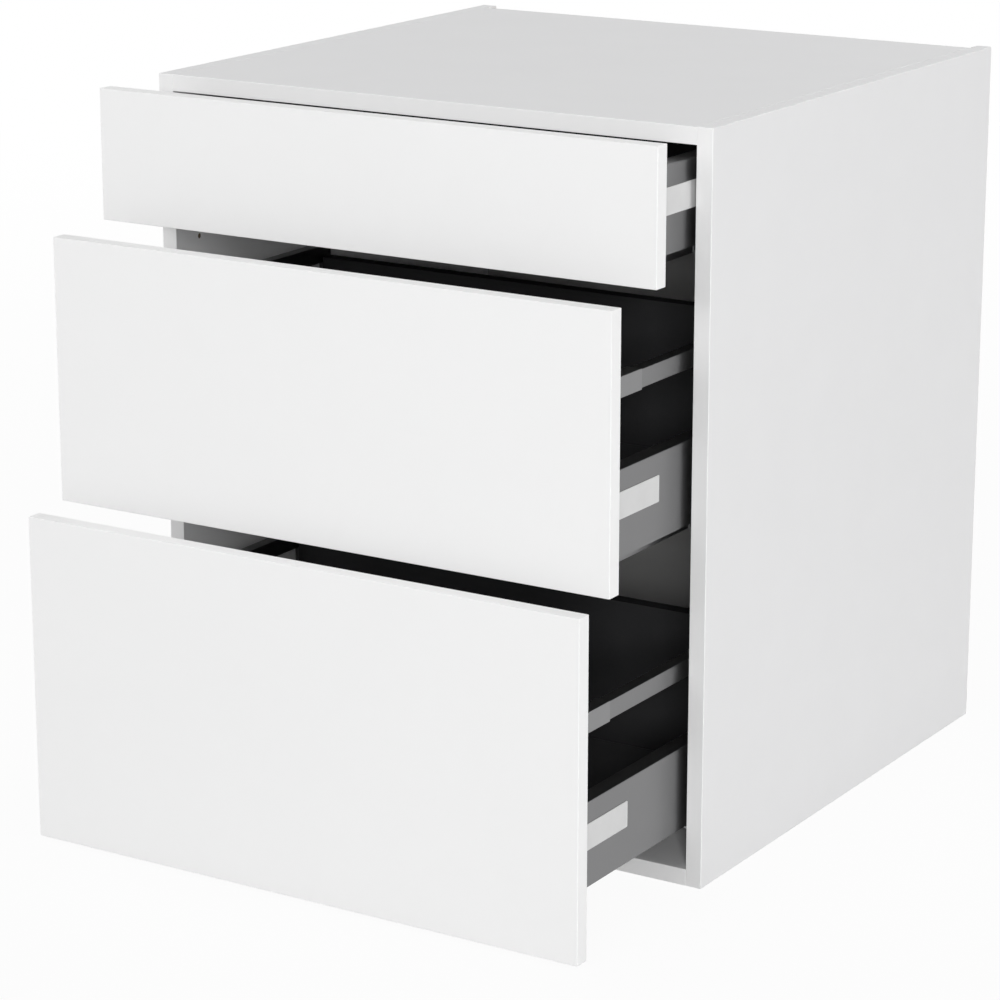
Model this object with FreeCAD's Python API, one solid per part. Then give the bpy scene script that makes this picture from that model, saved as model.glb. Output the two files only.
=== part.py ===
"""Kitchen drawer unit: a board carcass with three steel-sided drawers on full-extension runners.

Millimetres. The origin is the centre of the carcass's underside, +X is right as seen from the front,
+Y goes to the back and +Z is up. The drawers stand open by the amounts given below.
"""
import FreeCAD
import Part
import os

# Carcass
CARCASS_WIDTH = 600.0
CARCASS_HEIGHT = 704.0
CARCASS_DEPTH = 580.0
PANEL = 16.0
EDGE_ROUND = 0.6
BACK_THICKNESS = 3.0
BACK_INSET = 18.0
BACK_EDGE = 1.0
GROOVE_DEPTH = 6.0
GROOVE_PLAY = 0.1

# Fronts, in modules of the carcass height
TOP_MODULES = 2
MIDDLE_MODULES = 4
BOTTOM_MODULES = 5
FRONT_THICKNESS = 16.0
REVEAL = 2.0
FRONT_STANDOFF = 2.0
TOP_OPEN = 75.0
MIDDLE_OPEN = 150.0
BOTTOM_OPEN = 200.0

# Drawer boxes; heights on a drawer are counted from the lower edge of its steel sides
TOP_SIDE_RISE = 19.5
MIDDLE_SIDE_RISE = 21.5
BOTTOM_SIDE_RISE = 53.0
HEADROOM = 11.5
DRAWER_LENGTH = 380.0
SIDE_GAP = 5.5
SIDE_WIDTH = 17.5
STEEL = 1.0
BEND = 1.2
BASE_DROP = 13.0
BASE_FLANGE = 14.0
BASE_THICKNESS = 16.0
BOARD_PLAY = 0.2
BACK_BOARD = 16.0
BACK_DROP = 3.0
BACK_OVERLAP = 6.0
BADGE_LENGTH = 72.0
BADGE_HEIGHT = 24.5
BADGE_THICKNESS = 0.6
BADGE_SETBACK = 30.0
BADGE_LIFT = 7.5

# Gallery rails of the two deep drawers
RAIL_RISE = 143.0
RAIL_WIDTH = 13.0
RAIL_HEIGHT = 17.0
RAIL_WALL = 1.2
RAIL_ROUND = 0.8
RAIL_INSET = 2.0
RAIL_SETBACK = 9.0
SLEEVE_LENGTH = 72.0
SLEEVE_WALL = 1.0
SLEEVE_END = 6.0
PLUG_PLAY = 0.1
PEG_LENGTH = 15.0

# Runners
RUNNER_SETBACK = 26.0
RUNNER_END = 2.0
RUNNER_STEEL = 1.5
RUNNER_PLAY = 0.4
RUNNER_SPACE = 3.5
RUNNER_NARROWING = 0.6
FLANGE_DROP = 10.0
WALL_PLATE_TOP = 20.0
HEAD = 4.0
FIXED_WEB_TOP = 16.0
MIDDLE_WEB = 8.0
DAMPER_LENGTH = 90.0
DAMPER_CLEARANCE = 1.0

# Brackets and fasteners
BRACKET = 2.0
BRACKET_LIFT = 6.0
BRACKET_PLAY = 0.5
TONGUE = 45.0
REAR_PLATE = 1.5
REAR_PLATE_REACH = 40.0
SCREW = 4.0
SCREW_DEPTH = 12.0
SCREW_HEAD = 7.0
SCREW_HEAD_HEIGHT = 2.0
SCREW_HEAD_ROUND = 0.8
RECESS = 3.6
RECESS_WIDTH = 0.9
RECESS_DEPTH = 1.2
SCREW_PLAY = 0.05
RUNNER_SCREW = 5.0
RUNNER_SCREW_DEPTH = 10.0
RUNNER_SCREW_RISE = 8.0
HOLE_SETBACK = 37.0
HOLE_PITCH = 32.0
SPARE_HOLE_FOOT = 30.0
SPARE_HOLE_STEPS = (4, 8, 12, 16)
SPARE_ROW_STEPS = (0, 13)
HOLE_END_PLAY = 1.0
DOWEL = 8.0
DOWEL_IN_SIDE = 10.0
DOWEL_IN_PANEL = 20.0
DOWEL_INSET = 60.0
CAM = 15.0
CAM_HEIGHT = 12.0
CAM_REACH = 34.0
CAM_BOLT = 6.0
CAM_INSET = 95.0
CAM_SLOT = 8.0
CAM_SLOT_WIDTH = 1.6
CAM_SLOT_DEPTH = 2.0
BACK_SCREW_INSET = 70.0
BACK_SCREWS_IN_ROW = 4
LEG_HOLE = 10.0
LEG_HOLE_DEPTH = 12.0
LEG_INSET_SIDE = 50.0
LEG_INSET_FRONT = 70.0

# Worked out from the sizes above
OUT_X = CARCASS_WIDTH / 2
WALL_X = OUT_X - PANEL
FRONT_Y = -CARCASS_DEPTH / 2
REAR_Y = CARCASS_DEPTH / 2
PANEL_REAR_Y = REAR_Y - BACK_INSET
MODULE = CARCASS_HEIGHT / (TOP_MODULES + MIDDLE_MODULES + BOTTOM_MODULES)
SIDE_HEIGHT = TOP_MODULES * MODULE - REVEAL - TOP_SIDE_RISE - HEADROOM - PANEL
SIDE_OUT = WALL_X - SIDE_GAP
SIDE_IN = SIDE_OUT - SIDE_WIDTH
RAIL_OUT = SIDE_OUT - RAIL_INSET
RAIL_IN = RAIL_OUT - RAIL_WIDTH
RUNNER_LENGTH = DRAWER_LENGTH - FRONT_STANDOFF - RUNNER_SETBACK - RUNNER_END
LAST_SCREW_STEP = int((RUNNER_SETBACK + RUNNER_LENGTH - HOLE_SETBACK - RUNNER_SCREW) // HOLE_PITCH)
RUNNER_SCREW_STEPS = (0, LAST_SCREW_STEP * 3 // 5, LAST_SCREW_STEP)
RUNNER_HALF = (SIDE_WIDTH - 2 * STEEL - RUNNER_SPACE) / 2
RUNNER_X = SIDE_IN + STEEL + RUNNER_HALF
HALF_WEB = RUNNER_STEEL / 2
LIP_GAP = HALF_WEB + RUNNER_PLAY
MIDDLE_HALF = RUNNER_HALF - RUNNER_NARROWING
MIDDLE_ROOF = FIXED_WEB_TOP + HEAD + RUNNER_PLAY + RUNNER_STEEL
MIDDLE_HEAD = MIDDLE_ROOF + MIDDLE_WEB
DRAWER_ROOF = MIDDLE_HEAD + HEAD + RUNNER_PLAY + RUNNER_STEEL
BRACKET_FOOT = DRAWER_ROOF + BRACKET_LIFT
BASE_SEAT = STEEL - BASE_DROP
BASE_TOP = BASE_SEAT + BASE_THICKNESS

DRAWERS = (
    ("top", TOP_MODULES, MIDDLE_MODULES + BOTTOM_MODULES, TOP_OPEN, TOP_SIDE_RISE, False),
    ("middle", MIDDLE_MODULES, BOTTOM_MODULES, MIDDLE_OPEN, MIDDLE_SIDE_RISE, True),
    ("bottom", BOTTOM_MODULES, 0, BOTTOM_OPEN, BOTTOM_SIDE_RISE, True),
)
SIDES = (("left", -1), ("right", 1))


def box(x0, x1, y0, y1, z0, z1):
    """A block between two corners."""
    return Part.makeBox(x1 - x0, y1 - y0, z1 - z0, FreeCAD.Vector(x0, y0, z0))


def rod(diameter, start, direction, length):
    """A round bar from a start point."""
    return Part.makeCylinder(diameter / 2, length, FreeCAD.Vector(*start), FreeCAD.Vector(*direction))


def bar(rectangles, y0, y1):
    """One straight profile along Y, joined from rectangles given as x0, x1, z0, z1."""
    blocks = [box(x0, x1, y0, y1, z0, z1) for x0, x1, z0, z1 in rectangles]
    return blocks[0].fuse(blocks[1:]).removeSplitter()


def along_y(shape, corners, tolerance=0.01):
    """The edges of a shape that run along Y through the given x, z corners."""
    found = []
    for edge in shape.Edges:
        a, b = edge.Vertexes[0].Point, edge.Vertexes[-1].Point
        for x, z in corners:
            if all(abs(p.x - x) < tolerance and abs(p.z - z) < tolerance for p in (a, b)):
                found.append(edge)
    return found


def board(x0, x1, y0, y1, z0, z1):
    """A board with softened edges."""
    block = box(x0, x1, y0, y1, z0, z1)
    return block.makeFillet(EDGE_ROUND, block.Edges)


def handed(shape, sign):
    """A piece made for the right-hand side, turned over for the left where sign is -1."""
    return shape if sign > 0 else shape.mirror(FreeCAD.Vector(0, 0, 0), FreeCAD.Vector(1, 0, 0))


def both_hands(solids):
    """Right-hand solids together with their left-hand twins."""
    return [handed(solid, sign) for _, sign in SIDES for solid in solids]


def cross(x, y, length, width, z0, z1):
    """Two crossed bars lying in the XY plane, to be cut out as a driver's recess."""
    long, slim = length / 2, width / 2
    return box(x - long, x + long, y - slim, y + slim, z0, z1).fuse(
        box(x - slim, x + slim, y - long, y + long, z0, z1))


def pan_screw(diameter, head, seat, direction, depth):
    """A cross-recessed pan screw whose head sits on the seat point and whose shank runs along direction."""
    cap = rod(head, (0, 0, 0), (0, 0, 1), SCREW_HEAD_HEIGHT)
    rim = [edge for edge in cap.Edges if edge.BoundBox.ZMin > SCREW_HEAD_HEIGHT / 2]
    shank = rod(diameter - 2 * SCREW_PLAY, (0, 0, 0), (0, 0, -1), depth)
    recess = cross(0, 0, RECESS, RECESS_WIDTH, SCREW_HEAD_HEIGHT - RECESS_DEPTH, SCREW_HEAD_HEIGHT)
    screw = cap.makeFillet(SCREW_HEAD_ROUND, rim).fuse(shank).removeSplitter().cut(recess)
    turn = FreeCAD.Rotation(FreeCAD.Vector(0, 0, -1), FreeCAD.Vector(*direction))
    screw.Placement = FreeCAD.Placement(FreeCAD.Vector(*seat), turn)
    return screw


def save(name, solids):
    """Writes one node, a single solid or a group of separate ones."""
    shape = solids[0] if len(solids) == 1 else Part.makeCompound(solids)
    shape.exportStep(os.path.join("parts", name + ".step"))


def drawer_frame(modules, below, opened, rise):
    """The front's lower and upper edge, its rear face and the lower edge of the steel sides."""
    low = below * MODULE + REVEAL
    high = (below + modules) * MODULE - REVEAL
    return low, high, FRONT_Y - FRONT_STANDOFF - opened, low + rise


def joint_rows(inset):
    """Y places of the two fittings in each carcass joint."""
    return FRONT_Y + inset, PANEL_REAR_Y - inset


def panel_levels():
    """Middle height, inner face and inward direction of the bottom and top panels."""
    return ((PANEL / 2, PANEL, -1), (CARCASS_HEIGHT - PANEL / 2, CARCASS_HEIGHT - PANEL, 1))


def runner_holes():
    """Y and Z of the runner screws on one carcass wall."""
    places = []
    for _, modules, below, opened, rise, _ in DRAWERS:
        foot = drawer_frame(modules, below, opened, rise)[3]
        for step in RUNNER_SCREW_STEPS:
            places.append((FRONT_Y + HOLE_SETBACK + step * HOLE_PITCH, foot + RUNNER_SCREW_RISE))
    return places


def back_screw_places():
    """X and Z of the screws that hold the back panel to the top and bottom panels."""
    reach = WALL_X - BACK_SCREW_INSET
    pitch = 2 * reach / (BACK_SCREWS_IN_ROW - 1)
    return [(place * pitch - reach, z) for z, _, _ in panel_levels() for place in range(BACK_SCREWS_IN_ROW)]


def spare_holes():
    """Y and Z of the free drillings for another drawer layout."""
    return [
        (FRONT_Y + HOLE_SETBACK + row * HOLE_PITCH, SPARE_HOLE_FOOT + step * HOLE_PITCH)
        for row in SPARE_ROW_STEPS
        for step in SPARE_HOLE_STEPS
    ]


def side_panel():
    """Right carcass side with its back groove, runner drillings and joint drillings."""
    panel = board(WALL_X, OUT_X, FRONT_Y, REAR_Y, 0, CARCASS_HEIGHT)
    groove_y = PANEL_REAR_Y - GROOVE_PLAY
    cuts = [box(WALL_X, WALL_X + GROOVE_DEPTH, groove_y, PANEL_REAR_Y + BACK_THICKNESS + GROOVE_PLAY,
                0, CARCASS_HEIGHT)]
    for y, z in runner_holes() + spare_holes():
        cuts.append(rod(RUNNER_SCREW, (WALL_X, y, z), (1, 0, 0), RUNNER_SCREW_DEPTH + HOLE_END_PLAY))
    for z, _, _ in panel_levels():
        for y in joint_rows(DOWEL_INSET):
            hole = DOWEL + 2 * SCREW_PLAY
            cuts.append(rod(hole, (WALL_X, y, z), (1, 0, 0), DOWEL_IN_SIDE + HOLE_END_PLAY))
        for y in joint_rows(CAM_INSET):
            hole = CAM_BOLT + 2 * SCREW_PLAY
            cuts.append(rod(hole, (WALL_X, y, z), (1, 0, 0), DOWEL_IN_SIDE + HOLE_END_PLAY))
    return panel.cut(cuts)


def cross_panel(middle_z, inner_z, inward, legs):
    """Top or bottom panel between the sides, with dowel holes, cam pockets and any leg holes."""
    low = middle_z - PANEL / 2
    panel = board(-WALL_X, WALL_X, FRONT_Y, PANEL_REAR_Y, low, low + PANEL)
    cuts = []
    for sign in (-1, 1):
        for y in joint_rows(DOWEL_INSET):
            hole = DOWEL + 2 * SCREW_PLAY
            cuts.append(rod(hole, (sign * WALL_X, y, middle_z), (-sign, 0, 0), DOWEL_IN_PANEL + HOLE_END_PLAY))
        for y in joint_rows(CAM_INSET):
            pocket = CAM + 2 * SCREW_PLAY
            start = (sign * (WALL_X - CAM_REACH), y, inner_z)
            cuts.append(rod(pocket, start, (0, 0, inward), CAM_HEIGHT))
            hole = CAM_BOLT + 2 * SCREW_PLAY
            cuts.append(rod(hole, (sign * WALL_X, y, middle_z), (-sign, 0, 0), CAM_REACH))
    if legs:
        for sign in (-1, 1):
            for y in (FRONT_Y + LEG_INSET_FRONT, PANEL_REAR_Y - LEG_INSET_FRONT):
                start = (sign * (OUT_X - LEG_INSET_SIDE), y, 0)
                cuts.append(rod(LEG_HOLE, start, (0, 0, 1), LEG_HOLE_DEPTH))
    for x, z in back_screw_places():
        if z == middle_z:
            cuts.append(rod(SCREW, (x, PANEL_REAR_Y, z), (0, -1, 0), SCREW_DEPTH + HOLE_END_PLAY))
    return panel.cut(cuts)


def build_carcass():
    """The five boards and the fittings that hold them together."""
    for name, sign in SIDES:
        save("carcass_side_" + name, [handed(side_panel(), sign)])
    bottom, top = panel_levels()
    save("bottom_panel", [cross_panel(*bottom, True)])
    save("top_panel", [cross_panel(*top, False)])
    reach = WALL_X + GROOVE_DEPTH - 2 * GROOVE_PLAY
    rear = PANEL_REAR_Y + BACK_THICKNESS
    sheet = box(-reach, reach, PANEL_REAR_Y, rear, BACK_EDGE, CARCASS_HEIGHT - BACK_EDGE)
    hole = SCREW + 2 * SCREW_PLAY
    save("back_panel", [sheet.cut([
        rod(hole, (x, rear, z), (0, -1, 0), BACK_THICKNESS) for x, z in back_screw_places()
    ])])
    save("back_screws", [
        pan_screw(SCREW, SCREW_HEAD, (x, rear, z), (0, -1, 0), BACK_THICKNESS + SCREW_DEPTH)
        for x, z in back_screw_places()
    ])
    dowels, bolts, cams = [], [], []
    for z, inner_z, inward in (bottom, top):
        for y in joint_rows(DOWEL_INSET):
            start = (WALL_X - DOWEL_IN_PANEL, y, z)
            dowels.append(rod(DOWEL, start, (1, 0, 0), DOWEL_IN_PANEL + DOWEL_IN_SIDE))
        for y in joint_rows(CAM_INSET):
            centre = WALL_X - CAM_REACH
            bolts.append(rod(CAM_BOLT, (centre, y, z), (1, 0, 0), CAM_REACH + DOWEL_IN_SIDE))
            cam = rod(CAM, (centre, y, inner_z), (0, 0, inward), CAM_HEIGHT)
            slot_low, slot_high = sorted((inner_z, inner_z + inward * CAM_SLOT_DEPTH))
            cams.append(cam.cut([
                rod(CAM_BOLT + 2 * SCREW_PLAY, (centre, y, z), (1, 0, 0), CAM),
                cross(centre, y, CAM_SLOT, CAM_SLOT_WIDTH, slot_low, slot_high),
            ]))
    save("carcass_dowels", both_hands(dowels))
    save("cam_bolts", both_hands(bolts))
    save("cam_locks", both_hands(cams))


def fixed_runner(foot):
    """Right runner member screwed to the carcass wall: plate, under-flange, web and rail head."""
    inner = RUNNER_X
    head = MIDDLE_HALF - RUNNER_STEEL - RUNNER_PLAY
    low = foot - FLANGE_DROP
    y0 = FRONT_Y + RUNNER_SETBACK
    profile = bar(
        [
            (WALL_X - RUNNER_STEEL, WALL_X, low, foot + WALL_PLATE_TOP),
            (inner - HALF_WEB, WALL_X, low, low + RUNNER_STEEL),
            (inner - HALF_WEB, inner + HALF_WEB, low, foot + FIXED_WEB_TOP),
            (inner - head, inner + head, foot + FIXED_WEB_TOP, foot + FIXED_WEB_TOP + HEAD),
        ],
        y0, y0 + RUNNER_LENGTH)
    holes = [
        rod(RUNNER_SCREW + 2 * SCREW_PLAY, (WALL_X - RUNNER_STEEL, y, z), (1, 0, 0), RUNNER_STEEL)
        for y, z in runner_holes()
    ]
    return profile.cut(holes)


def damper(foot):
    """Soft-close unit lying on the fixed member's under-flange at its rear end."""
    y1 = FRONT_Y + RUNNER_SETBACK + RUNNER_LENGTH
    low = foot - FLANGE_DROP + RUNNER_STEEL
    block = box(RUNNER_X + HALF_WEB, WALL_X - RUNNER_STEEL, y1 - DAMPER_LENGTH, y1, low, foot - DAMPER_CLEARANCE)
    return block.makeFillet(EDGE_ROUND, block.Edges)


def middle_runner(foot, opened):
    """Right middle member: a channel round the fixed rail head, with a rail head of its own above."""
    half = MIDDLE_HALF
    lip = foot + FIXED_WEB_TOP - RUNNER_PLAY - RUNNER_STEEL
    roof = foot + MIDDLE_ROOF
    head = RUNNER_HALF - RUNNER_STEEL - RUNNER_PLAY
    y0 = FRONT_Y + RUNNER_SETBACK - opened / 2
    return bar(channel(half, lip, roof) + [
        (RUNNER_X - HALF_WEB, RUNNER_X + HALF_WEB, roof, foot + MIDDLE_HEAD),
        (RUNNER_X - head, RUNNER_X + head, foot + MIDDLE_HEAD, foot + MIDDLE_HEAD + HEAD),
    ], y0, y0 + RUNNER_LENGTH)


def channel(half, lip, roof):
    """Rectangles of an upside-down channel with inturned lips, centred on the runner."""
    x = RUNNER_X
    return [
        (x - half, x + half, roof - RUNNER_STEEL, roof),
        (x - half, x - half + RUNNER_STEEL, lip, roof),
        (x + half - RUNNER_STEEL, x + half, lip, roof),
        (x - half, x - LIP_GAP, lip, lip + RUNNER_STEEL),
        (x + LIP_GAP, x + half, lip, lip + RUNNER_STEEL),
    ]


def drawer_runner(foot, opened):
    """Right drawer member, a channel welded to the inner wall of the steel side."""
    lip = foot + MIDDLE_HEAD - RUNNER_PLAY - RUNNER_STEEL
    y0 = FRONT_Y + RUNNER_SETBACK - opened
    return bar(channel(RUNNER_HALF, lip, foot + DRAWER_ROOF), y0, y0 + RUNNER_LENGTH)


def build_runners():
    """Fixed and middle members, dampers and wall screws; drawer members belong to the drawers."""
    dampers = []
    for name, modules, below, opened, rise, _ in DRAWERS:
        foot = drawer_frame(modules, below, opened, rise)[3]
        for hand, sign in SIDES:
            save(f"runner_fixed_{name}_{hand}", [handed(fixed_runner(foot), sign)])
        dampers.append(damper(foot))
        save("runner_middle_" + name, both_hands([middle_runner(foot, opened)]))
        save("runner_drawer_" + name, both_hands([drawer_runner(foot, opened)]))
    save("soft_close_dampers", both_hands(dampers))
    depth = RUNNER_SCREW_DEPTH + RUNNER_STEEL
    head = RUNNER_SCREW + 2 * RUNNER_STEEL
    screws = [
        pan_screw(RUNNER_SCREW, head, (WALL_X - RUNNER_STEEL, y, z), (1, 0, 0), depth) for y, z in runner_holes()
    ]
    save("runner_screws", both_hands(screws))


def front_screw_places(foot, gallery):
    """X and Z of the screws on the right half of a front: the bracket pair and the rail sleeve's one."""
    top = foot + SIDE_HEIGHT - BACK_DROP
    low = foot + BRACKET_FOOT
    inset = SCREW_HEAD / 2 + BRACKET_PLAY
    places = [(RUNNER_X, low + inset), (RUNNER_X, top - inset)]
    if gallery:
        places.append(((RAIL_IN + RAIL_OUT) / 2, foot + RAIL_RISE + RAIL_HEIGHT / 2))
    return places


def front_panel(low, high, rear, foot, gallery):
    """A flat front with pilot holes for the brackets and rail sleeves."""
    half = OUT_X - REVEAL
    panel = board(-half, half, rear - FRONT_THICKNESS, rear, low, high)
    cuts = []
    for x, z in front_screw_places(foot, gallery):
        for sign in (-1, 1):
            cuts.append(rod(SCREW, (sign * x, rear, z), (0, -1, 0), SCREW_DEPTH + HOLE_END_PLAY))
    return panel.cut(cuts)


def steel_side(rear, foot):
    """Right drawer side: outer wall, folded top, inner wall and the flange that carries the base."""
    top = foot + SIDE_HEIGHT
    flange = foot - BASE_DROP
    side = bar(
        [
            (SIDE_OUT - STEEL, SIDE_OUT, foot, top),
            (SIDE_IN, SIDE_OUT, top - STEEL, top),
            (SIDE_IN, SIDE_IN + STEEL, flange, top),
            (SIDE_IN - BASE_FLANGE, SIDE_IN + STEEL, flange, flange + STEEL),
        ],
        rear, rear + DRAWER_LENGTH)
    return side.makeFillet(BEND, along_y(side, [(SIDE_OUT, top), (SIDE_IN, top)]))


def front_bracket(rear, foot):
    """Angle inside the right steel side that the front is screwed to."""
    low, top = foot + BRACKET_FOOT, foot + SIDE_HEIGHT - BACK_DROP
    wall = SIDE_IN + STEEL
    plate = box(wall, SIDE_OUT - STEEL - BRACKET_PLAY, rear, rear + BRACKET, low, top)
    tongue = box(wall, wall + RUNNER_STEEL, rear, rear + TONGUE, low, top)
    cuts = [
        rod(SCREW + 2 * SCREW_PLAY, (x, rear, z), (0, 1, 0), BRACKET)
        for x, z in front_screw_places(foot, False)
    ]
    return plate.fuse(tongue).removeSplitter().cut(cuts)


def rear_screw_places(foot):
    """X and Z of the two screws of the right rear bracket."""
    x = SIDE_IN - REAR_PLATE_REACH / 2
    return [(x, foot + BASE_TOP), (x, foot + SIDE_HEIGHT - BACK_DROP - SCREW_HEAD)]


def rear_bracket(rear, foot, gallery):
    """Plate behind the back board and the right steel side; on a deep drawer it carries the rail's peg."""
    y0 = rear + DRAWER_LENGTH
    y1 = y0 + REAR_PLATE
    top = foot + SIDE_HEIGHT - BACK_DROP
    inner = SIDE_IN - REAR_PLATE_REACH
    solids = [
        box(inner, SIDE_IN - BOARD_PLAY, y0, y1, foot + BASE_SEAT, top),
        box(inner, RAIL_OUT, y0, y1, foot + BRACKET_FOOT, top),
    ]
    if gallery:
        base = foot + RAIL_RISE
        inset = RAIL_WALL + PLUG_PLAY
        solids.append(box(RAIL_IN, RAIL_OUT, y0, y1, top, base + RAIL_HEIGHT))
        solids.append(box(RAIL_IN + inset, RAIL_OUT - inset, y0 - PEG_LENGTH, y0,
                          base + inset, base + RAIL_HEIGHT - inset))
    plate = solids[0].fuse(solids[1:]).removeSplitter()
    return plate.cut([
        rod(SCREW + 2 * SCREW_PLAY, (x, y0, z), (0, 1, 0), REAR_PLATE) for x, z in rear_screw_places(foot)
    ])


def base_board(rear, foot):
    """The drawer's bottom, lying on the flanges of the steel sides."""
    half = SIDE_IN - BOARD_PLAY
    low = foot + BASE_SEAT
    return box(-half, half, rear, rear + DRAWER_LENGTH - BACK_BOARD, low, low + BASE_THICKNESS)


def back_board(rear, foot, gallery):
    """The drawer's back, standing on the flanges behind the base."""
    half = SIDE_IN - BOARD_PLAY
    top = RAIL_RISE + BACK_OVERLAP if gallery else SIDE_HEIGHT - BACK_DROP
    y1 = rear + DRAWER_LENGTH
    board_solid = box(-half, half, y1 - BACK_BOARD, y1, foot + BASE_SEAT, foot + top)
    cuts = [
        rod(SCREW, (sign * x, y1, z), (0, -1, 0), SCREW_DEPTH + HOLE_END_PLAY)
        for sign in (-1, 1)
        for x, z in rear_screw_places(foot)
    ]
    return board_solid.cut(cuts)


def tube(x0, x1, z0, z1, y0, y1, wall, rounding):
    """A rectangular tube along Y with softened long edges."""
    outer = box(x0, x1, y0, y1, z0, z1)
    corners = [(x, z) for x in (x0, x1) for z in (z0, z1)]
    outer = outer.makeFillet(rounding, along_y(outer, corners))
    return outer.cut(box(x0 + wall, x1 - wall, y0, y1, z0 + wall, z1 - wall))


def rail(rear, foot):
    """Right gallery rail."""
    low = foot + RAIL_RISE
    y0, y1 = rear + RAIL_SETBACK, rear + DRAWER_LENGTH
    return tube(RAIL_IN, RAIL_OUT, low, low + RAIL_HEIGHT, y0, y1, RAIL_WALL, RAIL_ROUND)


def sleeve(rear, foot):
    """Right front sleeve of the rail, closed where it is screwed to the front."""
    skin = SLEEVE_WALL + PLUG_PLAY
    x0, x1 = RAIL_IN - skin, RAIL_OUT + skin
    z0, z1 = foot + RAIL_RISE - skin, foot + RAIL_RISE + RAIL_HEIGHT + skin
    shell = tube(x0, x1, z0, z1, rear, rear + SLEEVE_LENGTH, SLEEVE_WALL, RAIL_ROUND)
    end = box(x0 + SLEEVE_WALL, x1 - SLEEVE_WALL, rear, rear + SLEEVE_END, z0 + SLEEVE_WALL, z1 - SLEEVE_WALL)
    x, z = (RAIL_IN + RAIL_OUT) / 2, foot + RAIL_RISE + RAIL_HEIGHT / 2
    hole = rod(SCREW + 2 * SCREW_PLAY, (x, rear, z), (0, 1, 0), SLEEVE_END)
    return shell.fuse(end).removeSplitter().cut(hole)


def badge(rear, foot):
    """Blank plate on the outer face of the right steel side."""
    low = foot + (SIDE_HEIGHT - BADGE_HEIGHT) / 2 + BADGE_LIFT
    y0 = rear + BADGE_SETBACK
    return box(SIDE_OUT, SIDE_OUT + BADGE_THICKNESS, y0, y0 + BADGE_LENGTH, low, low + BADGE_HEIGHT)


def drawer_screws(rear, foot, gallery):
    """Screws of the right front bracket, rail sleeve and rear bracket."""
    screws = []
    for x, z in front_screw_places(foot, False):
        screws.append(pan_screw(SCREW, SCREW_HEAD, (x, rear + BRACKET, z), (0, -1, 0), BRACKET + SCREW_DEPTH))
    for x, z in front_screw_places(foot, gallery)[len(screws):]:
        screws.append(pan_screw(SCREW, SCREW_HEAD, (x, rear + SLEEVE_END, z), (0, -1, 0), SLEEVE_END + SCREW_DEPTH))
    seat = rear + DRAWER_LENGTH + REAR_PLATE
    for x, z in rear_screw_places(foot):
        screws.append(pan_screw(SCREW, SCREW_HEAD, (x, seat, z), (0, -1, 0), REAR_PLATE + SCREW_DEPTH))
    return screws


def build_drawer(name, modules, below, opened, rise, gallery):
    """One drawer with its front, box, brackets and, on the deep ones, its gallery."""
    low, high, rear, foot = drawer_frame(modules, below, opened, rise)
    save("front_" + name, [front_panel(low, high, rear, foot, gallery)])
    save("drawer_base_" + name, [base_board(rear, foot)])
    save("drawer_back_" + name, [back_board(rear, foot, gallery)])
    save("front_brackets_" + name, both_hands([front_bracket(rear, foot)]))
    save("rear_brackets_" + name, both_hands([rear_bracket(rear, foot, gallery)]))
    save("drawer_screws_" + name, both_hands(drawer_screws(rear, foot, gallery)))
    save("badges_" + name, both_hands([badge(rear, foot)]))
    for hand, sign in SIDES:
        save(f"drawer_side_{name}_{hand}", [handed(steel_side(rear, foot), sign)])
        if gallery:
            save(f"rail_{name}_{hand}", [handed(rail(rear, foot), sign)])
            save(f"rail_sleeve_{name}_{hand}", [handed(sleeve(rear, foot), sign)])


os.makedirs("parts", exist_ok=True)
build_carcass()
build_runners()
for drawer in DRAWERS:
    build_drawer(*drawer)
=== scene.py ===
"""Kitchen drawer unit: finishes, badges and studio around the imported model, laid out as an add-on."""
import math
from typing import NamedTuple

import bmesh
import bpy
from bpy.props import FloatProperty, FloatVectorProperty, IntProperty, PointerProperty
from mathutils import Euler, Matrix, Vector


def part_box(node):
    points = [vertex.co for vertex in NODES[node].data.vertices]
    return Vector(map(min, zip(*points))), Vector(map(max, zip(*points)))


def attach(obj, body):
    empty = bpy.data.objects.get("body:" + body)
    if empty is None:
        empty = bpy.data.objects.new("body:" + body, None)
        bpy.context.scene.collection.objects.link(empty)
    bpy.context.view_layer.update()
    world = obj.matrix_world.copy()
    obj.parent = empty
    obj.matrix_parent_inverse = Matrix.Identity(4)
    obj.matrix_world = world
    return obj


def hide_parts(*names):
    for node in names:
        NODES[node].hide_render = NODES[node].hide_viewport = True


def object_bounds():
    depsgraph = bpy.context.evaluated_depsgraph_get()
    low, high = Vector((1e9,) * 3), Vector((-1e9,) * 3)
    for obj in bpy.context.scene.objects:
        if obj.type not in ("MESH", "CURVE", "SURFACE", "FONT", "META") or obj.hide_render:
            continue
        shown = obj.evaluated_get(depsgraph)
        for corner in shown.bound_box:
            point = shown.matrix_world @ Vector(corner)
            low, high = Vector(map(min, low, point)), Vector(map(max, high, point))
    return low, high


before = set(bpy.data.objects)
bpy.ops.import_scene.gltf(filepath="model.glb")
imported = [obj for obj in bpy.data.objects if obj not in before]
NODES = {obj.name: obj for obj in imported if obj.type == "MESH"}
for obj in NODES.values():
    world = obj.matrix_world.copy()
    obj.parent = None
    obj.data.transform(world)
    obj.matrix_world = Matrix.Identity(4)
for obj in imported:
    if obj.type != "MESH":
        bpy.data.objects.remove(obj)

bl_info = {
    "name": "Kitchen Drawer Unit",
    "version": (1, 0, 0),
    "blender": (4, 5, 0),
    "location": "View3D > Sidebar > Drawer Unit",
    "description": "Finishes, badges and studio for a white base unit with three steel-sided drawers",
    "category": "Object",
}

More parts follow.
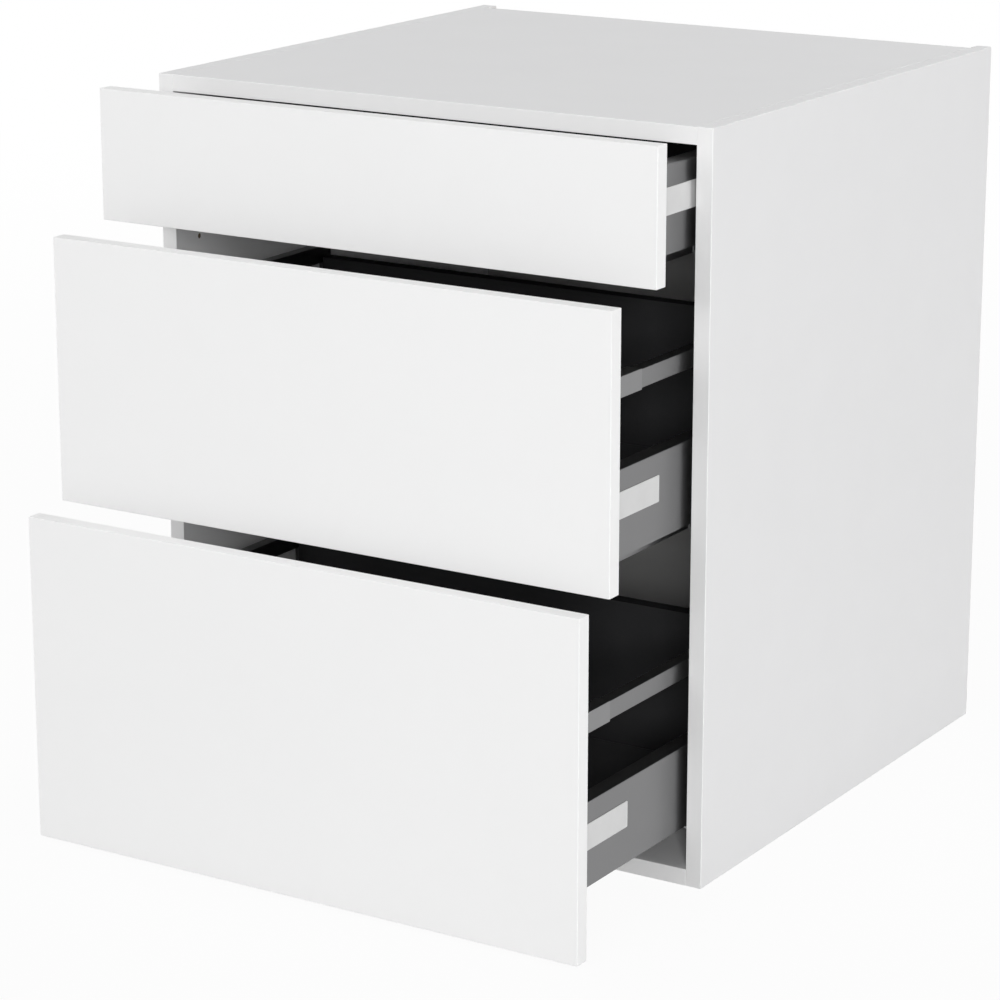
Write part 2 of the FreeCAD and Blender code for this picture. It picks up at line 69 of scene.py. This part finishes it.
CAD_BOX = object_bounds()
CAD_LOW, CAD_HIGH = CAD_BOX
DRAWERS = ("top", "middle", "bottom")
DEEP_DRAWERS = ("middle", "bottom")
HANDS = ("left", "right")
MM = 0.001
SIDE_LOW, SIDE_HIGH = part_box("carcass_side_right")
BACK_INNER, BACK_OUTER = (corner.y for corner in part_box("back_panel"))
WHITE = (1.0, 1.0, 1.0)

# How a pattern is drawn out along X, Y and Z: the smaller the number, the longer the marks
EVEN = (1.0, 1.0, 1.0)
ALONG_DOWEL = (0.1, 1.0, 1.0)
ALONG_BOARD = (1.0, 0.12, 1.0)
ALONG_RUNNER = (1.0, 0.05, 1.0)
UP_SHEET = (1.0, 1.0, 0.3)

# Sockets of a Mix node that blends colours, by number, because their names repeat
MIX_FACTOR, MIX_FIRST, MIX_SECOND, MIX_COLOUR = 0, 6, 7, 2

# The studio: lengths in metres, the camera's sensor in millimetres
FLOOR_REACH = 40.0
FLOOR_SEGMENTS = 8
FLOOR_DROP = 0.1 * MM
LAMP_DISTANCE = 9.0
SENSOR_WIDTH = 36.0


def colour(name, description, default):
    """A colour setting."""
    return FloatVectorProperty(
        name=name, description=description, subtype="COLOR", size=3, min=0.0, max=1.0, default=default)


def length(name, description, default):
    """A length setting in metres."""
    return FloatProperty(
        name=name, description=description, subtype="DISTANCE", unit="LENGTH", default=default)


def share(name, description, default):
    """A setting between nothing and all."""
    return FloatProperty(
        name=name, description=description, subtype="FACTOR", min=0.0, max=1.0, default=default)


def angle(name, description, degrees):
    """An angle setting, with its default in degrees."""
    return FloatProperty(
        name=name, description=description, subtype="ANGLE", default=math.radians(degrees))


def power(name, default):
    """The power of a lamp in watts."""
    return FloatProperty(
        name=name, description="Power of the lamp", subtype="POWER", unit="POWER", default=default)


class BoardSettings(bpy.types.PropertyGroup):
    """Colours and grain of the boards."""

    melamine: colour("Melamine", "Carcass boards", (0.80, 0.80, 0.805))
    # Painted light: the edge band is whiter than the melamine so that the front edges, shaded by the fronts,
    # look lit.
    band: colour("Edge band", "Band along the front edges of the carcass", (0.90, 0.90, 0.90))
    core: colour("Core", "Bare chipboard in drillings and grooves", (0.17, 0.125, 0.08))
    front: colour("Fronts", "Lacquer of the drawer fronts", (0.885, 0.885, 0.885))
    # Painted light and shade: the drawer base and back are one dark board in two tones, the base lighter as
    # painted light from above and the back near black as painted shade.
    drawer_base: colour("Drawer base", "Board that the drawers are loaded on", (0.075, 0.075, 0.078))
    drawer_back: colour("Drawer back", "Board at the back of the drawers", (0.027, 0.027, 0.0285))
    # Painted shade: the lacquered inner face is darkened to grey for the shade deep inside the carcass.
    sheet: colour("Back sheet", "Lacquered inner face of the back panel", (0.44, 0.44, 0.44))
    fibre: colour("Bare fibreboard", "Rear face of the back panel", (0.33, 0.225, 0.14))
    pebble: length("Pebble", "Width of one dimple of the melamine's press plate", 0.0012)
    band_width: length("Band thickness", "Thickness of the edge band", 0.001)
    hairline: length("Hairline", "Width of the faint joint behind the edge band", 0.0002)
    skin: length("Skin", "Thickness of the melamine over the chipboard", 0.0003)
    core_margin: length("Core margin", "How far inside the boards' edges bare chipboard starts", 0.002)


class MetalSettings(bpy.types.PropertyGroup):
    """Colours and grain of the metal and plastic pieces."""

    steel: colour("Drawer steel", "Powder coat of the drawer sides and rails", (0.205, 0.205, 0.208))
    sleeve: colour("Rail sleeve", "Coat of the sleeve at the front of a rail", (0.245, 0.245, 0.248))
    zinc: colour("Zinc", "Plating of the fasteners", (0.60, 0.61, 0.62))
    runner: colour("Runner", "Rolled and plated steel of the runners", (0.32, 0.325, 0.33))
    bracket: colour("Rear bracket", "Powder coat of the rear brackets", (0.13, 0.13, 0.136))
    damper: colour("Damper", "Moulded soft-close housing", (0.06, 0.06, 0.064))
    beech: colour("Dowel", "Beech of the dowels", (0.52, 0.36, 0.21))
    grit: length("Coat grain", "Width of one grain of the powder coat", 0.0008)


class BadgeSettings(bpy.types.PropertyGroup):
    """The blank plates on the drawer sides."""

    plate: colour("Plate", "Moulded plate", (0.64, 0.64, 0.64))
    corner: length("Corner", "Radius of the corners", 0.0012)
    rim: length("Rim", "Width of the raised rim", 0.0009)
    sink: length("Sink", "Depth of the field inside the rim", 0.00018)
    segments: IntProperty(name="Segments", description="Steps in each rounded corner", min=1, default=4)


class StudioSettings(bpy.types.PropertyGroup):
    """Camera and light."""

    stand: FloatVectorProperty(
        name="Camera place", description="Where the camera stands", subtype="TRANSLATION", size=3,
        default=(1.7218, -2.9131, 1.2030))
    yaw: angle("Yaw", "Turn to the left", 31.997)
    pitch: angle("Pitch", "Tilt downwards", 15.610)
    lens: FloatProperty(name="Lens", description="Focal length", subtype="DISTANCE_CAMERA", default=125.19)
    floor: colour("Floor", "Pale studio floor", (0.55, 0.55, 0.55))
    glow: share("Floor glow", "White of the background in the floor around the unit", 0.95)
    fade_start: length("Fade start", "Distance at which the floor starts to turn all white", 1.0)
    fade_end: length("Fade end", "Distance at which the floor is all white", 4.0)
    ambient: share("Ambient", "Light of the surroundings", 0.28)
    front_left_lamp: power("Front left lamp", 152.0)
    front_right_lamp: power("Front right lamp", 344.0)
    right_lamp: power("Right lamp", 242.0)
    back_lamp: power("Back lamp", 300.0)
    left_lamp: power("Left lamp", 330.0)
    top_lamp: power("Top lamp", 150.0)


class DrawerUnitSettings(bpy.types.PropertyGroup):
    """All settings of the drawer unit."""

    boards: PointerProperty(type=BoardSettings)
    metal: PointerProperty(type=MetalSettings)
    badge: PointerProperty(type=BadgeSettings)
    studio: PointerProperty(type=StudioSettings)


class Lamp(NamedTuple):
    """A lamp's bearing, from the front towards the right, and height in degrees, and its width in metres."""

    bearing: float
    height: float
    width: float


LAMPS = {
    "front_left_lamp": Lamp(bearing=-12.0, height=24.0, width=3.0),
    "front_right_lamp": Lamp(bearing=32.0, height=14.0, width=1.7),
    "right_lamp": Lamp(bearing=88.0, height=8.0, width=3.0),
    "back_lamp": Lamp(bearing=180.0, height=20.0, width=3.6),
    "left_lamp": Lamp(bearing=-100.0, height=6.0, width=3.6),
    "top_lamp": Lamp(bearing=0.0, height=88.0, width=4.0),
}


class Signal:
    """A shader value that takes part in Python arithmetic; each operation adds one Math node."""

    def __init__(self, graph, socket):
        self.graph = graph
        self.socket = socket

    def math(self, operation, *values):
        """Adds a Math node on one or two values."""
        return self.graph.node("ShaderNodeMath", dict(enumerate(values)), operation=operation)

    def __add__(self, other):
        return self.math("ADD", self, other)

    def __sub__(self, other):
        return self.math("SUBTRACT", self, other)

    def __rsub__(self, other):
        return self.math("SUBTRACT", other, self)

    def __mul__(self, other):
        return self.math("MULTIPLY", self, other)

    def __lt__(self, other):
        return self.math("LESS_THAN", self, other)

    def __abs__(self):
        return self.math("ABSOLUTE", self)

    __radd__ = __add__
    __rmul__ = __mul__


class Graph:
    """A node tree under construction."""

    def __init__(self, tree):
        self.nodes = tree.nodes
        self.links = tree.links

    def node(self, kind, inputs=None, out=0, **settings):
        """Adds a node, sets its settings, then its sockets by name or number, and gives one output."""
        made = self.nodes.new(kind)
        for key, value in settings.items():
            setattr(made, key, value)
        for key, value in (inputs or {}).items():
            self.feed(made.inputs[key], value)
        return Signal(self, made.outputs[out])

    def feed(self, socket, value):
        """Links a signal to a socket or sets a plain value on it."""
        if isinstance(value, Signal):
            self.links.new(value.socket, socket)
        elif socket.type == "RGBA":
            socket.default_value = (*value, 1.0)
        else:
            socket.default_value = value

    def outputs(self, kind, inputs=None):
        """Adds a node and gives its outputs by name."""
        made = self.node(kind, inputs).socket.node
        return {socket.name: Signal(self, socket) for socket in made.outputs}

    def mix(self, factor, first, second):
        """A blend of two colours."""
        sockets = {MIX_FACTOR: factor, MIX_FIRST: first, MIX_SECOND: second}
        return self.node("ShaderNodeMix", sockets, out=MIX_COLOUR, data_type="RGBA")

    def seen(self):
        """1 for rays that show a thing to the camera, straight, mirrored or through glass."""
        rays = self.outputs("ShaderNodeLightPath")
        return rays["Is Camera Ray"] + rays["Is Glossy Ray"] + rays["Is Transmission Ray"]


class Finish(Graph):
    """A material under construction: its object coordinates and its main shader."""

    def __init__(self, name):
        self.material = bpy.data.materials.new(name)
        self.material.use_nodes = True
        super().__init__(self.material.node_tree)
        self.shader = self.nodes["Principled BSDF"]
        self.place = self.node("ShaderNodeTexCoord", out="Object")

    def axes(self):
        """The object coordinates one by one, by the names X, Y and Z."""
        return self.outputs("ShaderNodeSeparateXYZ", {"Vector": self.place})

    def noise(self, width, stretch=EVEN, detail=2.0):
        """Noise whose cells are about width metres wide, drawn out along the axes with a small stretch."""
        where = self.node("ShaderNodeMapping", {"Vector": self.place, "Scale": stretch})
        return self.node("ShaderNodeTexNoise", {"Vector": where, "Scale": 1.0 / width, "Detail": detail})

    def tones(self, factor, base, dark, light):
        """A blend from a darker to a lighter shade of one colour."""
        return self.mix(factor, shade(base, dark), shade(base, light))

    def bump(self, height, depth):
        """A surface normal from a height that runs from 0 to 1 over depth metres."""
        return self.node("ShaderNodeBump", {"Height": height, "Distance": depth})

    def set(self, **values):
        """Feeds the main shader's sockets, with underscores in their names for spaces."""
        for key, value in values.items():
            self.feed(self.shader.inputs[key.replace("_", " ")], value)
        return self.material


def shade(rgb, factor):
    """A colour made lighter or darker."""
    return tuple(min(1.0, c * factor) for c in rgb)


def melamine_board(boards):
    """White pressed board: a banded front edge whose band is whiter as painted light, a faint joint behind
    the band, bare chips in the drillings.
    """
    finish = Finish("white_melamine")
    axes = finish.axes()
    mottle = finish.noise(width=60 * MM, detail=3.0)
    dimples = finish.noise(width=boards.pebble, detail=1.0)
    face = finish.tones(mottle, boards.melamine, dark=0.985, light=1.01)
    band_rear = SIDE_LOW.y + boards.band_width
    # The whiter band colour is painted light on the front edges.
    banded = finish.mix(axes["Y"] < band_rear, face, boards.band)
    joint = abs(axes["Y"] - band_rear) < boards.hairline / 2
    joint_strength = 0.35
    joint_tone = shade(boards.melamine, 0.7)
    edged = finish.mix(joint * joint_strength, banded, joint_tone)
    chips = finish.tones(finish.noise(width=2 * MM), boards.core, dark=0.6, light=1.4)
    return finish.set(
        Base_Color=finish.mix(inside_sides(axes, boards.skin, boards.core_margin), edged, chips),
        Roughness=0.55 + dimples * 0.10 + mottle * 0.05,
        Specular_IOR_Level=0.06,
        Normal=finish.bump(dimples, depth=0.04 * MM))


def inside_sides(axes, skin, margin):
    """1 in the core of the carcass sides, a skin below their faces and a margin in from their edges."""
    middle = (SIDE_LOW + SIDE_HIGH) / 2
    half = (SIDE_HIGH - SIDE_LOW) / 2
    deep = abs(abs(axes["X"]) - middle.x) < half.x - skin
    along = abs(axes["Y"] - middle.y) < half.y - margin
    up = abs(axes["Z"] - middle.z) < half.z - margin
    return deep * along * up


def lacquered_front(boards):
    """Smooth matt lacquer with the fine orange peel of a sprayed front."""
    finish = Finish("front_lacquer")
    cloud = finish.noise(width=90 * MM)
    peel = finish.noise(width=2.2 * MM, detail=1.0)
    fine = finish.noise(width=0.5 * MM, detail=1.0)
    return finish.set(
        Base_Color=finish.tones(cloud, boards.front, dark=0.994, light=1.004),
        Roughness=0.52 + fine * 0.08 + cloud * 0.03,
        Specular_IOR_Level=0.1,
        Normal=finish.bump(peel * 0.7 + fine * 0.3, depth=0.03 * MM))


def drawer_melamine(name, base):
    """Dark board of the drawers, with short pores along the grain, in the tone given: lighter for painted
    light, darker for painted shade.
    """
    finish = Finish(name)
    pores = finish.noise(width=1.0 * MM, stretch=ALONG_BOARD, detail=3.0)
    cloud = finish.noise(width=40 * MM)
    return finish.set(
        Base_Color=finish.tones(pores * 0.6 + cloud * 0.4, base, dark=0.7, light=1.4),
        Roughness=0.55 + pores * 0.18,
        Specular_IOR_Level=0.1,
        Normal=finish.bump(pores, depth=0.08 * MM))


def fibre_sheet(boards):
    """Back sheet: lacquer towards the drawers, darkened to grey as painted shade, bare pressed fibres towards
    the wall.
    """
    finish = Finish("back_sheet")
    fibres = finish.noise(width=0.9 * MM, stretch=UP_SHEET, detail=4.0)
    cloud = finish.noise(width=70 * MM, detail=3.0)
    bare = finish.tones(fibres * 0.6 + cloud * 0.4, boards.fibre, dark=0.72, light=1.28)
    lacquered = finish.axes()["Y"] < (BACK_INNER + BACK_OUTER) / 2
    return finish.set(
        # The lacquer's grey is painted shade.
        Base_Color=finish.mix(lacquered, bare, boards.sheet),
        Roughness=0.55 + fibres * 0.2,
        Normal=finish.bump(fibres, depth=0.06 * MM))


def powder_coat(name, base, grit):
    """Metallic powder coat with a fine grain."""
    finish = Finish(name)
    grain = finish.noise(width=grit)
    cloud = finish.noise(width=45 * MM)
    return finish.set(
        Base_Color=finish.tones(grain * 0.5 + cloud * 0.5, base, dark=0.93, light=1.07),
        Metallic=1.0,
        Roughness=0.27 + grain * 0.10,
        Normal=finish.bump(grain, depth=0.04 * MM))


def moulded(name, base, roughness):
    """Moulded plastic with a fine spark-eroded grain, at least as rough as given."""
    finish = Finish(name)
    grain = finish.noise(width=0.35 * MM, detail=1.0)
    cloud = finish.noise(width=20 * MM)
    return finish.set(
        Base_Color=finish.tones(cloud, base, dark=0.95, light=1.05),
        Roughness=roughness + grain * 0.15,
        Normal=finish.bump(grain, depth=0.02 * MM))


def zinc_plate(name, base, stretch):
    """Zinc-plated steel, with rolling marks drawn out along the axes with a small stretch."""
    finish = Finish(name)
    marks = finish.noise(width=0.6 * MM, stretch=stretch, detail=3.0)
    bloom = finish.noise(width=14 * MM, detail=3.0)
    return finish.set(
        Base_Color=finish.tones(marks * 0.5 + bloom * 0.5, base, dark=0.78, light=1.1),
        Metallic=1.0,
        Roughness=0.26 + marks * 0.12 + bloom * 0.14,
        Normal=finish.bump(marks, depth=0.02 * MM))


def beech(base):
    """Pale beech with flecks along the dowel."""
    finish = Finish("dowel_beech")
    flecks = finish.noise(width=0.8 * MM, stretch=ALONG_DOWEL, detail=3.0)
    return finish.set(
        Base_Color=finish.tones(flecks, base, dark=0.75, light=1.2),
        Roughness=0.6 + flecks * 0.2,
        Normal=finish.bump(flecks, depth=0.05 * MM))


def paint(material, *nodes):
    """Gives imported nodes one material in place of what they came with."""
    for node in nodes:
        slots = NODES[node].data.materials
        slots.clear()
        slots.append(material)


def new_piece(name, shape, body, material, replaced):
    """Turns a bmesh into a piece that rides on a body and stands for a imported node."""
    mesh = bpy.data.meshes.new(name)
    shape.to_mesh(mesh)
    shape.free()
    mesh.materials.append(material)
    piece = bpy.data.objects.new(name, mesh)
    bpy.context.scene.collection.objects.link(piece)
    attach(piece, body)
    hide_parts(replaced)


def settings_of(context):
    """The drawer unit's settings on the scene."""
    return context.scene.drawer_unit


class UNIT_OT_carcass(bpy.types.Operator):
    """Finish the carcass boards and the back sheet"""

    bl_idname = "drawer_unit.carcass"
    bl_label = "Carcass"

    def execute(self, context):
        boards = settings_of(context).boards
        paint(melamine_board(boards), "carcass_side_left", "carcass_side_right", "top_panel", "bottom_panel")
        paint(fibre_sheet(boards), "back_panel")
        return {"FINISHED"}


class UNIT_OT_fronts(bpy.types.Operator):
    """Finish the three fronts"""

    bl_idname = "drawer_unit.fronts"
    bl_label = "Fronts"

    def execute(self, context):
        paint(lacquered_front(settings_of(context).boards), *("front_" + name for name in DRAWERS))
        return {"FINISHED"}


class UNIT_OT_drawer_boxes(bpy.types.Operator):
    """Finish the drawers' boards and steel sides"""

    bl_idname = "drawer_unit.drawer_boxes"
    bl_label = "Drawer boxes"

    def execute(self, context):
        unit = settings_of(context)
        # One drawer board in a lit and a shaded copy: painted light on the bases, painted shade on the backs.
        base = drawer_melamine("base_melamine", unit.boards.drawer_base)
        back = drawer_melamine("back_melamine", unit.boards.drawer_back)
        coat = powder_coat("side_coat", unit.metal.steel, unit.metal.grit)
        for name in DRAWERS:
            paint(base, "drawer_base_" + name)
            paint(back, "drawer_back_" + name)
            paint(coat, *(f"drawer_side_{name}_{hand}" for hand in HANDS))
        return {"FINISHED"}


class UNIT_OT_rails(bpy.types.Operator):
    """Finish the gallery rails and their front sleeves"""

    bl_idname = "drawer_unit.rails"
    bl_label = "Rails"

    def execute(self, context):
        metal = settings_of(context).metal
        rail_coat = powder_coat("rail_coat", metal.steel, metal.grit)
        sleeve_coat = powder_coat("sleeve_coat", metal.sleeve, metal.grit)
        for name in DEEP_DRAWERS:
            paint(rail_coat, *(f"rail_{name}_{hand}" for hand in HANDS))
            paint(sleeve_coat, *(f"rail_sleeve_{name}_{hand}" for hand in HANDS))
        return {"FINISHED"}


class UNIT_OT_runners(bpy.types.Operator):
    """Finish the runner members and the soft-close dampers"""

    bl_idname = "drawer_unit.runners"
    bl_label = "Runners"

    def execute(self, context):
        metal = settings_of(context).metal
        rolled = zinc_plate("rolled_zinc", metal.runner, ALONG_RUNNER)
        for name in DRAWERS:
            paint(rolled, "runner_drawer_" + name, "runner_middle_" + name)
            paint(rolled, *(f"runner_fixed_{name}_{hand}" for hand in HANDS))
        paint(moulded("damper_housing", metal.damper, roughness=0.45), "soft_close_dampers")
        return {"FINISHED"}


class UNIT_OT_fittings(bpy.types.Operator):
    """Finish the brackets, screws, cam fittings and dowels"""

    bl_idname = "drawer_unit.fittings"
    bl_label = "Fittings"

    def execute(self, context):
        metal = settings_of(context).metal
        plated = zinc_plate("plated_zinc", metal.zinc, EVEN)
        coat = powder_coat("bracket_coat", metal.bracket, metal.grit)
        paint(plated, "cam_bolts", "cam_locks", "runner_screws", "back_screws")
        for name in DRAWERS:
            paint(plated, "front_brackets_" + name, "drawer_screws_" + name)
            paint(coat, "rear_brackets_" + name)
        paint(beech(metal.beech), "carcass_dowels")
        return {"FINISHED"}


class UNIT_OT_badges(bpy.types.Operator):
    """Model the blank badge plates on the drawer sides"""

    bl_idname = "drawer_unit.badges"
    bl_label = "Badges"

    def execute(self, context):
        badge = settings_of(context).badge
        plastic = moulded("badge_plastic", badge.plate, roughness=0.35)
        for name in DRAWERS:
            packed = "badges_" + name
            low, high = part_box(packed)
            steel_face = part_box(f"drawer_side_{name}_right")[1].x
            plates = bmesh.new()
            for sign in (-1.0, 1.0):
                add_plate(plates, badge, sign, Vector((steel_face, low.y, low.z)), high)
            new_piece("badge_plates_" + name, plates, "drawer_" + name, plastic, packed)
        return {"FINISHED"}


def add_plate(plates, badge, sign, low, high):
    """Adds one rounded plate with a raised rim between two corners, mirrored to the left where sign is -1."""
    size = high - low
    plate = bmesh.new()
    bmesh.ops.create_cube(plate, size=1.0, matrix=Matrix.Diagonal((*size, 1.0)))
    corners = [edge for edge in plate.edges if abs(edge.verts[0].co.x - edge.verts[1].co.x) > size.x / 2]
    bmesh.ops.bevel(
        plate, geom=corners, offset=badge.corner, offset_type="OFFSET", affect="EDGES",
        segments=badge.segments, profile=0.5, material=-1)
    outer = max(plate.faces, key=lambda face: face.calc_center_median().x)
    bmesh.ops.inset_region(plate, faces=[outer], thickness=badge.rim, use_even_offset=True)
    bmesh.ops.inset_region(
        plate, faces=[outer], thickness=badge.sink, depth=-badge.sink, use_even_offset=True)
    bmesh.ops.translate(plate, verts=plate.verts, vec=(low + high) / 2)
    bmesh.ops.scale(plate, verts=plate.verts, vec=(sign, 1.0, 1.0))
    bmesh.ops.recalc_face_normals(plate, faces=plate.faces)
    loose = bpy.data.meshes.new("plate")
    plate.to_mesh(loose)
    plate.free()
    plates.from_mesh(loose)
    bpy.data.meshes.remove(loose)


class UNIT_OT_stage(bpy.types.Operator):
    """Set up the floor, lamps, surroundings and camera"""

    bl_idname = "drawer_unit.stage"
    bl_label = "Stage"

    def execute(self, context):
        studio = settings_of(context).studio
        lay_floor(context.scene, studio)
        light_surroundings(context.scene, studio)
        for name, lamp in LAMPS.items():
            hang_lamp(context.scene, name, getattr(studio, name), lamp)
        stand_camera(context.scene, studio)
        context.scene.view_settings.view_transform = "Standard"
        return {"FINISHED"}


def lay_floor(scene, studio):
    """A wide pale floor that fades to the white background and keeps the object's shadow."""
    sheet = bmesh.new()
    bmesh.ops.create_grid(sheet, x_segments=FLOOR_SEGMENTS, y_segments=FLOOR_SEGMENTS, size=FLOOR_REACH)
    mesh = bpy.data.meshes.new("studio_floor")
    sheet.to_mesh(mesh)
    sheet.free()
    floor = bpy.data.objects.new("studio_floor", mesh)
    floor.location.z = CAD_LOW.z - FLOOR_DROP
    scene.collection.objects.link(floor)
    finish = Finish("studio_floor")
    finish.set(Base_Color=studio.floor, Roughness=0.9)
    away = finish.node("ShaderNodeVectorMath", {"Vector": finish.place}, out="Value", operation="LENGTH")
    fade = finish.node(
        "ShaderNodeMapRange",
        {"Value": away, "From Min": studio.fade_start, "From Max": studio.fade_end,
         "To Min": studio.glow, "To Max": 1.0},
        interpolation_type="SMOOTHSTEP")
    glow = finish.node("ShaderNodeEmission", {"Color": WHITE, "Strength": 1.0})
    matt = Signal(finish, finish.shader.outputs["BSDF"])
    blend = finish.node("ShaderNodeMixShader", {0: finish.seen() * fade, 1: matt, 2: glow})
    finish.feed(finish.nodes["Material Output"].inputs["Surface"], blend)
    mesh.materials.append(finish.material)


def light_surroundings(scene, studio):
    """White where it is seen, and a plain soft light for everything else."""
    scene.world = bpy.data.worlds.new("studio")
    scene.world.use_nodes = True
    sky = Graph(scene.world.node_tree)
    background = sky.nodes["Background"].inputs
    sky.feed(background["Color"], WHITE)
    sky.feed(background["Strength"], sky.seen() * (1.0 - studio.ambient) + studio.ambient)


def hang_lamp(scene, name, watts, lamp):
    """A soft square lamp that faces the middle of the object."""
    light = bpy.data.lights.new(name, "AREA")
    light.size = lamp.width
    light.energy = watts
    hung = bpy.data.objects.new(name, light)
    turn = Euler((math.pi / 2 - math.radians(lamp.height), 0.0, math.radians(lamp.bearing)))
    middle = (CAD_LOW + CAD_HIGH) / 2
    hung.location = middle + turn.to_matrix() @ Vector((0.0, 0.0, LAMP_DISTANCE))
    hung.rotation_euler = turn
    hung.visible_camera = False
    scene.collection.objects.link(hung)


def stand_camera(scene, studio):
    """The photograph's view of the unit."""
    camera = bpy.data.cameras.new("photo_camera")
    camera.sensor_width = SENSOR_WIDTH
    camera.lens = studio.lens
    stand = bpy.data.objects.new("photo_camera", camera)
    stand.location = studio.stand
    stand.rotation_euler = (math.pi / 2 - studio.pitch, 0.0, studio.yaw)
    scene.collection.objects.link(stand)
    scene.camera = stand


OPERATORS = (
    UNIT_OT_carcass, UNIT_OT_fronts, UNIT_OT_drawer_boxes, UNIT_OT_rails, UNIT_OT_runners, UNIT_OT_fittings,
    UNIT_OT_badges, UNIT_OT_stage)


class UNIT_PT_panel(bpy.types.Panel):
    """The drawer unit's steps and settings"""

    bl_label = "Drawer Unit"
    bl_idname = "UNIT_PT_panel"
    bl_space_type = "VIEW_3D"
    bl_region_type = "UI"
    bl_category = "Drawer Unit"

    def draw(self, context):
        unit = settings_of(context)
        for operator in OPERATORS:
            self.layout.operator(operator.bl_idname)
        for group in (unit.boards, unit.metal, unit.badge, unit.studio):
            column = self.layout.column()
            for key in group.__annotations__:
                column.prop(group, key)


CLASSES = (
    BoardSettings, MetalSettings, BadgeSettings, StudioSettings, DrawerUnitSettings, *OPERATORS,
    UNIT_PT_panel)


def register():
    """Makes the settings, operators and panel known."""
    for each in CLASSES:
        bpy.utils.register_class(each)
    bpy.types.Scene.drawer_unit = PointerProperty(type=DrawerUnitSettings)


def unregister():
    """Takes them away again."""
    del bpy.types.Scene.drawer_unit
    for each in reversed(CLASSES):
        bpy.utils.unregister_class(each)


def main():
    """Registers the add-on and makes every piece in order."""
    register()
    for operator in OPERATORS:
        step = operator.bl_idname.partition(".")[2]
        getattr(bpy.ops.drawer_unit, step)()


if __name__ == "__main__":
    main()
